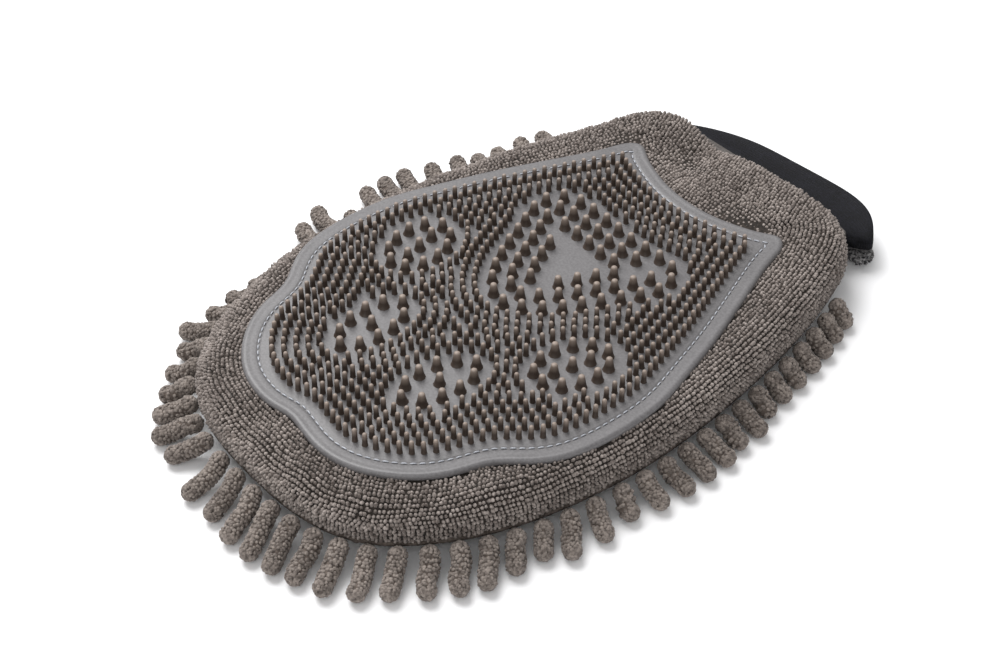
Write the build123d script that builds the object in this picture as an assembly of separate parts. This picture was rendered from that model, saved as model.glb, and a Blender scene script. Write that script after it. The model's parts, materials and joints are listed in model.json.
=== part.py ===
from build123d import *
import math
import os

# Grooming mitt, lying flat with its pad up.  Millimetres, +Z up, +Y towards the wrist.
# While it is built, x = 0 is the mitt's long axis, y = 0 is the fingertip edge of the
# terry panel and z = 0 is the surface it lies on.  Everything is moved at the end, so that
# the origin is the centre of the whole mitt's base.

# --- overall sizes -----------------------------------------------------------------------
BODY_LENGTH = 232.5       # terry panel, fingertip edge to wrist edge
BODY_WIDTH = 158.0        # terry panel at its widest
POCKET_HEIGHT = 8.4       # free height of the hand pocket when the mitt lies flat

# --- cloth -------------------------------------------------------------------------------
NOODLE_RADIUS = 3.3       # chenille noodle, half its thickness
NOODLE_LENGTH = 25.0      # a whole noodle of the underside
BASE_CLEARANCE = 0.8      # noodles to the base cloth that they hang from
BASE_THICKNESS = 1.4
LINING_THICKNESS = 0.6
LINING_GAP = 0.3          # front lining to terry panel
TERRY_THICKNESS = 2.8
EDGE_ROLL = 8.5           # outer radius of the terry panel's rolled top edge
LOWER_ROLL = 2.0          # radius under the terry panel's rolled edge
SEAM_WIDTH = 3.2          # overlocked seam allowance inside the edge
SEAM_HEIGHT = 1.2
SEAM_CLEARANCE = 0.4

# --- wrist -------------------------------------------------------------------------------
MOUTH_WIDTH = 86.0        # opening that the hand goes through
HEM_DEPTH = 5.0
HEM_THICKNESS = 0.8
HEM_CLEARANCE = 0.4
CUFF_WIDTH = 95.0
CUFF_LENGTH = 19.5
CUFF_HEIGHT = 11.6
CUFF_THICKNESS = 1.4
CUFF_CLEARANCE = 0.8      # cuff to terry panel, room for the fold
SERGED_HEIGHT = 3.2       # overlocked edge under the cuff
SERGED_LENGTH = 13.0
SERGED_INSET = 8.0        # how much narrower it is on each side than the cuff

# --- rubber pad --------------------------------------------------------------------------
PAD_LENGTH = 185.5
PAD_WIDTH = 143.0
PAD_FROM_TIP = 18.0       # fingertip edge of the body to fingertip end of the pad
PAD_THICKNESS = 2.0
PAD_LIP = 0.9             # rounding of the pad's top edge
SMALL_NIB = (0.98, 0.82, 5.2)     # root radius, radius under the dome, height
LARGE_CONE = (2.0, 1.15, 5.3)
NIB_PITCH = 3.8           # small nibs along a row
NIB_ROW = 4.0             # one row of small nibs to the next
CONE_PITCH = 6.7
CONE_ROW = 6.4
NIB_MARGIN = 10.2         # pad edge to the outermost row
EDGE_ROWS = 5             # rows of small nibs that follow the pad's edge
PAW_ROWS = 3              # rows of small nibs that follow each paw shape
NIB_APART = 3.15          # small nibs are never closer than this
CONE_EDGE = 3.6           # paw shape's outline to its outer row of cones
CONE_GROOVE = 2.2         # paw shape's outline to the first small nibs outside it
STITCH_INSET = 5.6
STITCH = (2.1, 0.7, 0.45)         # length, width and height of one stitch
STITCH_PITCH = 2.9

# --- fringe ------------------------------------------------------------------------------
ROOT_GAP = 0.5            # terry edge to the root end of a fringe noodle
UNDERSIDE_PITCH = 7.5     # underside noodles, side to side
UNDERSIDE_INSET = 6.0     # terry edge to the underside noodles

# Heights, from the surface up.
BASE_Z = 2 * NOODLE_RADIUS + BASE_CLEARANCE
TERRY_Z = BASE_Z + BASE_THICKNESS
POCKET_Z = TERRY_Z + LINING_THICKNESS
POCKET_TOP_Z = POCKET_Z + POCKET_HEIGHT
TERRY_IN_Z = POCKET_TOP_Z + LINING_THICKNESS + LINING_GAP
TERRY_TOP_Z = TERRY_IN_Z + TERRY_THICKNESS
PAD_TOP_Z = TERRY_TOP_Z + PAD_THICKNESS

# Half outlines, from the fingertip end to the wrist end: share of the half width, share of
# the length.
BODY_HALF = [(0.22, 0.003), (0.43, 0.018), (0.60, 0.049), (0.734, 0.099), (0.848, 0.166),
             (0.93, 0.245), (0.981, 0.338), (1.0, 0.436), (0.985, 0.543), (0.944, 0.651),
             (0.886, 0.75), (0.815, 0.838), (0.745, 0.905), (0.665, 0.957), (0.555, 0.989),
             (0.42, 0.999), (0.22, 1.0)]
PAD_HALF = [(0.10, 0.0), (0.22, -0.004), (0.42, 0.014), (0.56, 0.05), (0.665, 0.095),
            (0.735, 0.15), (0.785, 0.203), (0.85, 0.235), (0.925, 0.275), (0.98, 0.335),
            (1.0, 0.42), (0.98, 0.52), (0.92, 0.60), (0.84, 0.695), (0.745, 0.79),
            (0.655, 0.875), (0.59, 0.945), (0.555, 0.983), (0.50, 1.0), (0.43, 0.987),
            (0.32, 0.966), (0.16, 0.947)]
OUTLINE_POINTS = 48       # points that carry an inset outline
PAD_TIP_NOTCH = 0.006
PAD_WRIST_DIP = 0.941

# The paw that the large cones form: each outline as centre, half width, half length, turn.
# Places and lengths are measured from the pad's fingertip end.
TOES = [(-40.0, 84.0, 12.5, 17.0, 14), (40.0, 84.0, 12.5, 17.0, -14),
        (-18.0, 46.5, 10.5, 18.0, 6), (18.0, 46.5, 10.5, 18.0, -6)]
PALM_TOP = 146.0          # wrist side of the palm shape
PALM_TIP = 83.0           # its point, towards the fingers
PALM_HALF = 34.5          # half of its width near the wrist side
PALM_ROWS = 3

# Fringe, from the left of the wrist round the fingertips to the right of the wrist: for
# each tuft, the heading of every noodle in degrees from +X and its reach past the edge.
FRINGE_START = 0.905      # share of the body's length where the fringe stops at the wrist
TUFTS = {
    "fringe_left_wrist": [(155, 13), (157, 12), (155, 20), (157, 20), (160, 18), (158, 18),
                          (156, 21)],
    "fringe_left_middle": [(160, 22), (166, 24), (163, 24), (161, 23), (168, 14),
                           (171, 24), (172, 20)],
    "fringe_left_finger": [(180, 9), (184, 8), (188, 9), (195, 11), (202, 12), (212, 16),
                           (216, 12)],
    "fringe_tip_left": [(232, 12), (236, 12), (239, 14), (241, 16), (246, 15), (284, 18),
                        (294, 18)],
    "fringe_tip_right": [(297, 20), (298, 20), (299, 19), (299, 18), (301, 18), (307, 17),
                         (309, 16)],
    "fringe_right_finger": [(317, 16), (321, 16), (319, 16), (318, 13), (320, 11),
                            (324, 15), (338, 13)],
    "fringe_right_middle": [(352, 10), (363, 12), (370, 13), (374, 13), (376, 13),
                            (375, 11), (373, 12)],
    "fringe_right_wrist": [(372, 9), (370, 9), (370, 9), (371, 9), (370, 9), (368, 8.5),
                           (362, 8.5)],
}


# --- outlines ----------------------------------------------------------------------------
def body_edge():
    """The body's outline, from the middle of the wrist to the left and round the fingers."""
    right = [(x * BODY_WIDTH / 2, y * BODY_LENGTH) for x, y in BODY_HALF]
    left = [(-x, y) for x, y in reversed(right)]
    return Spline([(0, BODY_LENGTH)] + left + [(0, 0)] + right, periodic=True)


def closed_face(edge):
    """The face inside a closed curve, with the curve in two halves."""
    return make_face(Wire([edge.trim(0, 0.5), edge.trim(0.5, 1)]))


def body_face(inset=0.0):
    """The body's outline as a face, or the same outline moved inwards."""
    edge = body_edge()
    if inset:
        shares = [i / OUTLINE_POINTS for i in range(OUTLINE_POINTS)]
        edge = Spline([inward(edge, share, inset) for share in shares], periodic=True)
    return closed_face(edge)


def inward(edge, share, inset):
    """A point moved square to the edge; the edge runs anticlockwise."""
    point, along = edge @ share, edge % share
    return (point.X - along.Y * inset, point.Y + along.X * inset)


def pad_points():
    half = [(x * PAD_WIDTH / 2, PAD_FROM_TIP + y * PAD_LENGTH) for x, y in PAD_HALF]
    tip = (0, PAD_FROM_TIP + PAD_TIP_NOTCH * PAD_LENGTH)
    dip = (0, PAD_FROM_TIP + PAD_WRIST_DIP * PAD_LENGTH)
    return [tip] + half + [dip] + [(-x, y) for x, y in reversed(half)]


def pad_edge():
    return Spline(pad_points(), periodic=True)


def toe_edge(toe):
    x, y, half_width, half_length, turn = toe
    ellipse = Edge.make_ellipse(half_width, half_length)
    return Pos(x, PAD_FROM_TIP + y) * Rot(0, 0, turn) * ellipse


def palm_edge():
    """A rounded shield, wide towards the wrist and pointed towards the fingers."""
    top = PAD_FROM_TIP + PALM_TOP
    height = PALM_TOP - PALM_TIP
    half = [(0.5, -0.01), (0.86, 0.03), (1.0, 0.17), (0.83, 0.47), (0.58, 0.75), (0.3, 0.93)]
    right = [(x * PALM_HALF, top - down * height) for x, down in half]
    left = [(-x, y) for x, y in reversed(right)]
    return Spline([(0, top)] + right + [(0, top - height)] + left, periodic=True)


# --- rows of nibs ------------------------------------------------------------------------
def loop_points(edge, count=240):
    points = [edge @ (i / count) for i in range(count)]
    return [(p.X, p.Y) for p in points]


def inside(point, loop):
    x, y = point
    crossings = 0
    for (ax, ay), (bx, by) in zip(loop, loop[1:] + loop[:1]):
        if (ay > y) != (by > y) and x < ax + (y - ay) * (bx - ax) / (by - ay):
            crossings += 1
    return crossings % 2 == 1


def gap_to(point, loop):
    """The distance from a point to a closed loop of points, negative inside it."""
    nearest = min(math.dist(point, corner) for corner in loop)
    return -nearest if inside(point, loop) else nearest


def row_beside(loop, distance, pitch, start=0.0):
    """Points spaced by pitch on the curve that lies distance outside a closed loop."""
    path = []
    for (ax, ay), (bx, by) in zip(loop, loop[1:] + loop[:1]):
        length = math.dist((ax, ay), (bx, by))
        normal = ((by - ay) / length, (ax - bx) / length)
        middle = ((ax + bx) / 2, (ay + by) / 2)
        path.append((middle[0] + normal[0] * distance, middle[1] + normal[1] * distance))
    if inside(path[0], loop) == (distance > 0):
        return row_beside(loop[::-1], distance, pitch, start)
    path = [p for p in path if abs(gap_to(p, loop)) > abs(distance) - 0.25]
    if len(path) < 3:
        return []
    steps = [math.dist(a, b) for a, b in zip(path, path[1:] + path[:1])]
    count = max(3, round(sum(steps) / pitch))
    spacing = sum(steps) / count
    points = []
    travelled = 0.0
    target = (start % 1.0) * spacing
    for a, b, step in zip(path, path[1:] + path[:1], steps):
        while target <= travelled + step and len(points) < count:
            share = (target - travelled) / step
            points.append((a[0] + (b[0] - a[0]) * share, a[1] + (b[1] - a[1]) * share))
            target += spacing
        travelled += step
    return points


def cone_places(palm, toes):
    places = []
    for row in range(PALM_ROWS):
        inset = CONE_EDGE + row * CONE_ROW
        places += row_beside(palm, -inset, CONE_PITCH, row / 2)
    for toe, loop in zip(TOES, toes):
        places += row_beside(loop, -CONE_EDGE, CONE_PITCH)
        x, y, _, half_length, turn = toe
        spine = half_length - CONE_EDGE - CONE_PITCH
        lean = math.radians(turn)
        for along in (0, -spine, spine):
            middle = PAD_FROM_TIP + y + along * math.cos(lean)
            places.append((x - along * math.sin(lean), middle))
    return spread(places, [], CONE_PITCH - 1.1)


def spread(candidates, kept, apart):
    """The candidates that stay clear of each other and of those already kept."""
    places = list(kept)
    for place in candidates:
        if all(math.dist(place, other) >= apart for other in places):
            places.append(place)
    return places[len(kept):]


def small_nib_places(pad, palm, toes):
    paws = [palm] + toes
    rows = []
    for row in range(EDGE_ROWS):
        rows += row_beside(pad, -(NIB_MARGIN + row * NIB_ROW), NIB_PITCH, row / 2)
    for row in range(PAW_ROWS):
        for paw in paws:
            away = CONE_GROOVE + 0.3 + row * NIB_ROW
            rows += row_beside(paw, away, NIB_PITCH, row / 2)

    def free(point):
        return (gap_to(point, pad) < -(NIB_MARGIN - 0.6)
                and all(gap_to(point, paw) > CONE_GROOVE for paw in paws))

    places = spread([p for p in rows if free(p)], [], NIB_APART)
    # the gaps that the rows leave where they meet are filled from a fine grid
    width = int(PAD_WIDTH / 2)
    grid = [(x, PAD_FROM_TIP + y) for y in range(int(PAD_LENGTH)) for x in range(-width, width)]
    return places + spread([p for p in grid if free(p)], places, NIB_APART + 0.1)


def nib(size):
    """One nib, standing on the pad: a slender cone with a domed top."""
    root, neck, height = size
    straight = height - neck
    low = (Align.CENTER, Align.CENTER, Align.MIN)
    return Cone(root, neck, straight, align=low) + Pos(0, 0, straight) * Sphere(neck)


def stand_on_pad(shape, places):
    return Compound([Pos(x, y, PAD_TOP_Z) * shape.solid() for x, y in places])


# --- sub-parts ---------------------------------------------------------------------------
def grooming_pad():
    sheet = Pos(0, 0, TERRY_TOP_Z) * extrude(closed_face(pad_edge()), PAD_THICKNESS)
    return fillet(sheet.faces().sort_by(Axis.Z)[-1].edges(), PAD_LIP)


def pad_stitching(pad):
    length, width, height = STITCH
    stitches = []
    places = row_beside(pad, -STITCH_INSET, STITCH_PITCH)
    for here, there in zip(places, places[1:] + places[:1]):
        turn = math.degrees(math.atan2(there[1] - here[1], there[0] - here[0]))
        stitch = Box(length, width, height, align=(Align.CENTER, Align.CENTER, Align.MIN))
        stitches.append(Pos(here[0], here[1], PAD_TOP_Z) * Rot(0, 0, turn) * stitch)
    return Compound([stitch.solid() for stitch in stitches])


def mouth(height_from, height_to, margin):
    """The space cut for the hand through the wrist end, smaller by margin at each side."""
    width = MOUTH_WIDTH - 2 * margin
    radius = min(4.0, (height_to - height_from) / 2.2)
    middle = (height_from + height_to) / 2
    section = Pos(0, middle) * RectangleRounded(width, height_to - height_from, radius)
    depth = BODY_LENGTH / 4
    return Pos(0, BODY_LENGTH + 5, 0) * extrude(Plane.XZ * section, depth)


def rolled_shell(inset, foot, top, roll, thickness):
    """An open-bottomed shell: the body's outline, rolled over at its top edge."""
    outer = Pos(0, 0, foot) * extrude(body_face(inset), top - foot)
    outer = fillet(outer.faces().sort_by(Axis.Z)[-1].edges(), roll)
    height = top - thickness - foot
    inner = Pos(0, 0, foot - 1) * extrude(body_face(inset + thickness), height + 1)
    inner = fillet(inner.faces().sort_by(Axis.Z)[-1].edges(), roll - thickness)
    return outer - inner


def terry_front_panel():
    shell = rolled_shell(0, TERRY_Z, TERRY_TOP_Z, EDGE_ROLL, TERRY_THICKNESS)
    shell = fillet(shell.faces().sort_by(Axis.Z)[0].outer_wire().edges(), LOWER_ROLL)
    return shell - mouth(TERRY_Z - 5, POCKET_TOP_Z, 0)


def front_lining():
    inset = TERRY_THICKNESS + LINING_GAP + SEAM_WIDTH + 2 * SEAM_CLEARANCE
    top = TERRY_IN_Z - LINING_GAP
    shell = rolled_shell(inset, POCKET_Z, top, EDGE_ROLL - TERRY_THICKNESS, LINING_THICKNESS)
    return shell - mouth(POCKET_Z - 5, POCKET_TOP_Z, HEM_THICKNESS)


def back_lining():
    inset = TERRY_THICKNESS + LINING_GAP + SEAM_WIDTH + 2 * SEAM_CLEARANCE
    return Pos(0, 0, TERRY_Z) * extrude(body_face(inset), LINING_THICKNESS)


def side_seam():
    """The overlocked allowance, lying on the base cloth just inside the terry panel."""
    outer = TERRY_THICKNESS + SEAM_CLEARANCE
    ring = extrude(body_face(outer), SEAM_HEIGHT)
    ring -= extrude(body_face(outer + SEAM_WIDTH), SEAM_HEIGHT)
    seam = Pos(0, 0, TERRY_Z) * ring
    room = Pos(0, BODY_LENGTH, TERRY_Z) * Box(MOUTH_WIDTH, 40, 20)
    return seam - room


def chenille_base_panel():
    return Pos(0, 0, BASE_Z) * extrude(body_face(LOWER_ROLL), BASE_THICKNESS)


def wrist_hem():
    """The folded hem that lines the mouth and takes the cuff's stitches."""
    low = TERRY_Z + LINING_THICKNESS + HEM_CLEARANCE
    high = POCKET_TOP_Z - HEM_CLEARANCE
    width = MOUTH_WIDTH - 2 * HEM_CLEARANCE
    size = high - low
    outer = RectangleRounded(width, size, size / 2.1)
    inner = RectangleRounded(width - 2 * HEM_THICKNESS, size - 2 * HEM_THICKNESS,
                             (size - 2 * HEM_THICKNESS) / 2.1)
    ring = extrude(Plane.XZ * (outer - inner), HEM_DEPTH)
    return Pos(0, BODY_LENGTH - 1, (low + high) / 2) * ring


def cuff_start():
    return BODY_LENGTH + CUFF_CLEARANCE


def cuff_bottom():
    return POCKET_TOP_Z - 1 - CUFF_HEIGHT


def elastic_cuff():
    outer = RectangleRounded(CUFF_WIDTH, CUFF_HEIGHT, CUFF_HEIGHT / 2.05)
    inside_height = CUFF_HEIGHT - 2 * CUFF_THICKNESS
    inner = RectangleRounded(CUFF_WIDTH - 2 * CUFF_THICKNESS, inside_height,
                             inside_height / 2.05)
    tube = extrude(Plane.XZ * (outer - inner), -CUFF_LENGTH)
    return Pos(0, cuff_start(), cuff_bottom() + CUFF_HEIGHT / 2) * tube


def serged_edge():
    width = CUFF_WIDTH - 2 * SERGED_INSET
    strip = Box(width, SERGED_LENGTH, SERGED_HEIGHT,
                align=(Align.CENTER, Align.MIN, Align.MAX))
    strip = fillet(strip.edges().filter_by(Axis.Z), 3.0)
    return Pos(0, cuff_start(), cuff_bottom()) * strip


# --- noodles -----------------------------------------------------------------------------
def noodle(root, heading, length):
    """A capsule lying on the surface, its root end at root, pointing along heading."""
    body = Cylinder(NOODLE_RADIUS, length, align=(Align.CENTER, Align.CENTER, Align.MIN))
    body = fillet(body.edges().filter_by(GeomType.CIRCLE), NOODLE_RADIUS * 0.995)
    return Pos(root[0], root[1], NOODLE_RADIUS) * Rot(0, 0, heading) * Rot(0, 90, 0) * body


def fringe_roots():
    """Places evenly spaced along the body's edge, with the outward normal at each."""
    edge = body_edge()
    count = sum(len(tuft) for tuft in TUFTS.values())
    samples = [edge @ (i / 2000) for i in range(2001)]
    limit = FRINGE_START * BODY_LENGTH
    kept = [p for p in samples if p.Y < limit]
    steps = [math.dist((a.X, a.Y), (b.X, b.Y)) for a, b in zip(kept, kept[1:])]
    pitch = sum(steps) / count
    roots = []
    travelled = 0.0
    for a, b, step in zip(kept, kept[1:], steps):
        if len(roots) < count and travelled >= (len(roots) + 0.5) * pitch:
            normal = ((a.Y - b.Y) / step, (b.X - a.X) / step)
            roots.append(((a.X, a.Y), (-normal[0], -normal[1])))
        travelled += step
    return roots


def fringe():
    """The tufts, and for each the line that it swings about: a point and a direction."""
    roots = iter(fringe_roots())
    tufts = {}
    hinges = {}
    for name, noodles in TUFTS.items():
        places = [fringe_place(next(roots), *noodle_size) for noodle_size in noodles]
        tufts[name] = Compound([noodle(*place).solid() for place, _ in places])
        hinges[name] = hinge_line([start for _, start in places])
    return tufts, hinges


def fringe_place(root, heading, reach):
    """A fringe noodle's root end, heading and length, and its place on the edge."""
    (x, y), (nx, ny) = root
    lean = math.radians(heading)
    square = nx * math.cos(lean) + ny * math.sin(lean)
    # a leaning noodle starts further out, so that its round root clears the edge
    back = (NOODLE_RADIUS + ROOT_GAP) / square - NOODLE_RADIUS
    start = (x + math.cos(lean) * back, y + math.sin(lean) * back)
    length = max(reach - back, 2.3 * NOODLE_RADIUS)
    return (start, heading, length), (x, y, nx, ny)


def hinge_line(starts):
    """The straight line along a tuft's innermost roots, at the surface."""
    nx = sum(s[2] for s in starts)
    ny = sum(s[3] for s in starts)
    size = math.hypot(nx, ny)
    nx, ny = nx / size, ny / size
    depth = min(s[0] * nx + s[1] * ny for s in starts)
    along = sum(s[1] * nx - s[0] * ny for s in starts) / len(starts)
    point = (depth * nx - along * ny, depth * ny + along * nx, 0)
    return point, (ny, -nx, 0)


def underside_rows(from_tip, to_wrist):
    """Noodles laid end to end along Y under the base cloth, in a brick pattern."""
    edge = body_edge()
    clear = UNDERSIDE_INSET + NOODLE_RADIUS
    room = [inward(edge, i / 200, clear) for i in range(200)]
    step = NOODLE_LENGTH + 1.0
    columns = int(BODY_WIDTH / UNDERSIDE_PITCH) + 1
    solids = []
    for column in range(-columns, columns + 1):
        x = column * UNDERSIDE_PITCH
        shift = step / 2 if column % 2 else 0.0
        for row in range(-1, int(BODY_LENGTH / step) + 2):
            y = row * step + shift
            ends = [(x, y + NOODLE_RADIUS), (x, y + NOODLE_LENGTH - NOODLE_RADIUS)]
            if all(inside(end, room) for end in ends) and from_tip <= y < to_wrist:
                solids.append(noodle((x, y), 90, NOODLE_LENGTH))
    return Compound([solid.solid() for solid in solids])


# --- the whole mitt ----------------------------------------------------------------------
def all_parts():
    pad = loop_points(pad_edge(), 480)
    palm = loop_points(palm_edge())
    toes = [loop_points(toe_edge(toe), 120) for toe in TOES]
    cones = cone_places(palm, toes)
    nibs = small_nib_places(pad, palm, toes)
    print(len(nibs), "small nibs,", len(cones), "large cones")
    parts = {
        "grooming_pad": grooming_pad(),
        "pad_small_nibs": stand_on_pad(nib(SMALL_NIB), nibs),
        "pad_large_cones": stand_on_pad(nib(LARGE_CONE), cones),
        "pad_stitching": pad_stitching(pad),
        "terry_front_panel": terry_front_panel(),
        "front_lining": front_lining(),
        "back_lining": back_lining(),
        "side_seam": side_seam(),
        "chenille_base_panel": chenille_base_panel(),
        "wrist_hem": wrist_hem(),
        "elastic_cuff": elastic_cuff(),
        "serged_edge": serged_edge(),
    }
    third = BODY_LENGTH / 3
    parts["underside_noodles_fingers"] = underside_rows(-third, third)
    parts["underside_noodles_palm"] = underside_rows(third, 2 * third)
    parts["underside_noodles_wrist"] = underside_rows(2 * third, BODY_LENGTH)
    return parts


def main():
    parts = all_parts()
    tufts, hinges = fringe()
    parts.update(tufts)
    box = Compound([solid for part in parts.values() for solid in part.solids()])
    box = box.bounding_box()
    shift = Pos(-(box.min.X + box.max.X) / 2, -(box.min.Y + box.max.Y) / 2, -box.min.Z)
    os.makedirs("parts", exist_ok=True)
    for name, part in parts.items():
        placed = [shift * solid for solid in part.solids()]
        shape = placed[0] if len(placed) == 1 else Compound(placed)
        export_step(shape, f"parts/{name}.step")
    move = shift.position
    print("size", [round(v, 2) for v in tuple(box.size)])
    print("cuff fold", round(move.Y + cuff_start(), 2), round(cuff_bottom() + CUFF_HEIGHT, 2))
    print("shift", [round(v, 3) for v in tuple(move)])
    for name, (point, axis) in hinges.items():
        place = [round(point[0] + move.X, 2), round(point[1] + move.Y, 2), 0.0]
        print("hinge", name, place, [round(v, 4) for v in axis])


main()
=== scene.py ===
import bpy
import json
import math
import numpy as np
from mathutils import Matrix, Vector
from mathutils.bvhtree import BVHTree
from mathutils.geometry import delaunay_2d_cdt

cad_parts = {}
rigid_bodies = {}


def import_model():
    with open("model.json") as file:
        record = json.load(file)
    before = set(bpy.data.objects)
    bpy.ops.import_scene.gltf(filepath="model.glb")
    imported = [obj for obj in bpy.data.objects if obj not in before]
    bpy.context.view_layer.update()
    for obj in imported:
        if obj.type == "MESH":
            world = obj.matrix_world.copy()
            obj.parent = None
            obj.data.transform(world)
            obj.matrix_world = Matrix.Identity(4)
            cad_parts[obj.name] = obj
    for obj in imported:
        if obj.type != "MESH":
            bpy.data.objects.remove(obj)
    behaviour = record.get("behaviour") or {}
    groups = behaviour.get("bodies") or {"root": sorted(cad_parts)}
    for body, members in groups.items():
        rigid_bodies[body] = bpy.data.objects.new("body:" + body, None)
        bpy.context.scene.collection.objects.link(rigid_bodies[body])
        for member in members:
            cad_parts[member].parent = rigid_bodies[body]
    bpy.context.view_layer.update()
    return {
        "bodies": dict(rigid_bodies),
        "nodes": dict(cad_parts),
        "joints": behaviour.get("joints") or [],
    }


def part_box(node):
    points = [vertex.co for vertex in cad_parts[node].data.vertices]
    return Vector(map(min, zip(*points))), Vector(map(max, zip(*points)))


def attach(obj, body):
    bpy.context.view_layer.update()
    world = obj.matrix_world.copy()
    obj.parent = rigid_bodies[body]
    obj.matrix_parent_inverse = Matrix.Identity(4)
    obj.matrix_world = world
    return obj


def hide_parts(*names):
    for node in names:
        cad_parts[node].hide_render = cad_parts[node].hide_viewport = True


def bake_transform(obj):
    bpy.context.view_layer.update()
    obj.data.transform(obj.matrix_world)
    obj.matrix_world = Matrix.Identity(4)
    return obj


# Grooming mitt: the looks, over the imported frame.  Shapes are worked out in millimetres in
# the frame's own axes (+Z up, +Y towards the wrist) and turned into metres in piece().
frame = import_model()
MM = 0.001

# --- terry cloth -------------------------------------------------------------------------
EDGE_POINTS = 480         # points round the mitt's outline
EDGE_HEIGHT = 8.1         # height at which the outline is read from the base panel
TERRY_BOTTOM = 8.8        # the terry panel's lower edge
TERRY_TOP = 21.5
TERRY_THICK = 2.2
LOWER_ROLL = 2.0          # radius of the roll at the lower edge
EDGE_ROLL = 8.5           # radius of the roll round the upper edge
CLOTH_FROM = 1.4          # the cloth starts this far up the section from its lower edge
SECTION_RUN = 18.7        # run of the section from the lower edge to the flat top
INSET_RINGS = 12.0        # how far in the rings follow the outline before they close up
SECTION_RINGS = 16
CLOTH_CLOSING = (0.88, 0.75, 0.6, 0.45, 0.3, 0.15)        # sizes of the rings after that

# --- terry loops -------------------------------------------------------------------------
LOOP_PITCH = 1.42         # spacing along a row
LOOP_ROW = 1.5            # spacing between rows
LOOP_RADIUS = 0.76
LOOP_HEIGHT = 1.4
LOOP_SUNK = 0.25          # how far a loop's foot is sunk into the cloth
FIRST_ROW = 0.8           # run of the first row from the lower edge
LAST_ROW = 66.0           # rows go on inwards as far as this
LOOP_SHIFT = 0.14         # most that a loop strays along its row, as a share of the pitch
FIELD_INSET = 9.0         # rows further in may cross themselves, and lose their loops there
UNDER_PAD = 0.6           # loops further in under the pad than this are left out

# --- puffs of the terry ------------------------------------------------------------------
PUFF_CLEAR = 0.5          # the terry lies flat this far out from the pad
PUFF_REACH = 7.0          # and is free to puff up this much further out
WRIST_PUFFS = ((3.0, -42.0, 22.0), (3.4, 28.0, 26.0))     # height, place in X, half width
WRIST_DIP = (4.4, -12.6, 8.0)                             # depth, place in X, half width
DIP_SLANT = 0.2           # how far the dip moves across for each step towards the fingers
RIPPLE_HEIGHT = 1.1       # of the puckers all over the terry
TIP_SLUMP = 3.2           # how far the edge hangs down at the fingertips
SLUMP_WIDTH = 17.0        # from the edge inwards
PUFF_FROM = 14.0          # the side wall below this height stays as it is
PUFF_FADE = 6.0           # and puffs come in over this much above it
WRIST_FROM = 78.0         # where the wrist's puffs begin, and how fast they come in
WRIST_FADE = 18.0
TIP_FROM = -45.0          # where the fingertips' slump begins, and how fast it comes in
TIP_FADE = 40.0

# --- pocket and wrist --------------------------------------------------------------------
MOUTH_HALF = 43.0         # half width of the opening
MOUTH_TOP = 18.2
MOUTH_FROM = 100.0        # the opening is only beyond this, towards the wrist
LINING_INSET = 3.4        # how far the front lining's foot is in from the mitt's edge
LINING_THICK = 0.5
LINING_CLOSING = (0.85, 0.7, 0.55, 0.4, 0.25, 0.12)
FLAT_CLOSING = (1.0, 0.985, 0.93, 0.85, 0.75, 0.62, 0.5, 0.38, 0.26, 0.14)
SEAM_INSET = 3.7
SEAM_HEIGHT = 9.4
SEAM_HALF = (1.5, 0.55)   # half width and half height
SEAM_SWELL = 0.14
CUFF_RINGS = 46           # rings from root to free edge, four to a rib
CUFF_RUN = 15.8           # from the cuff's root to its free edge
CUFF_BOW = 13.0           # how far its two ends are drawn back at the free edge
CUFF_HALF = (46.0, 5.0)   # half width and half height
CUFF_MIDDLE = 10.8        # height of its middle at the root
CUFF_DROOP = 2.0          # how much lower that is at the free edge
CUFF_SKEW = 3.5           # how far the free edge is to the side of the root
CUFF_RIDGE = 0.55         # a rib's ridge stands out by this
CUFF_VALLEY = -0.4        # and its valley by this
# place from the root, half width, height of the middle, half height
CUFF_ROOT = ((-6.0, 40.5, 13.6, 3.2), (-4.0, 41.5, 13.6, 3.4),
             (-2.2, 43.0, 13.3, 3.6), (-0.6, 45.0, 12.2, 4.2))
SERGED_SHIFT = 4.0        # the edge is this far to the side of its CAD strip
SERGED_WIDER = 5.5        # and this much wider on either side
# share of the strip's width, height
SERGED_RINGS = ((0.2, 2.9), (0.72, 2.6), (0.96, 2.5), (1.0, 3.3), (0.97, 4.4),
                (0.8, 4.6), (0.2, 4.7))
# share of the hem's depth, how much it swells there
HEM_FOLDS = ((0, -0.3), (0.15, 0), (0.5, 0.1), (0.7, -0.15), (0.9, 0.05), (1.0, -0.2))

# --- pad ---------------------------------------------------------------------------------
PAD_POINTS = 420          # points round the pad's outline
PAD_HEIGHT = 21.9         # height at which the pad's outline is read
# how far in from the pad's edge, height
PAD_PROFILE = ((0.35, 21.3), (0.0, 21.8), (0.0, 22.6), (0.2, 23.2), (0.7, 23.6),
               (1.3, 23.72), (1.9, 23.65), (2.5, 23.55), (3.2, 23.5), (4.7, 23.5),
               (5.0, 23.42), (5.3, 23.25), (5.9, 23.25), (6.2, 23.42), (6.5, 23.5))
PAD_EASED = 2.0           # rings further in than this have their corners eased
STITCH_HEIGHT = 23.4      # middle of the stitches
STITCH_RADIUS = 0.25
NIB_SUNK = 0.05
NIB_SHOULDER = 0.84       # a small nib's width near its top, as a share of its root's
CONE_SHOULDER = 0.58

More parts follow.
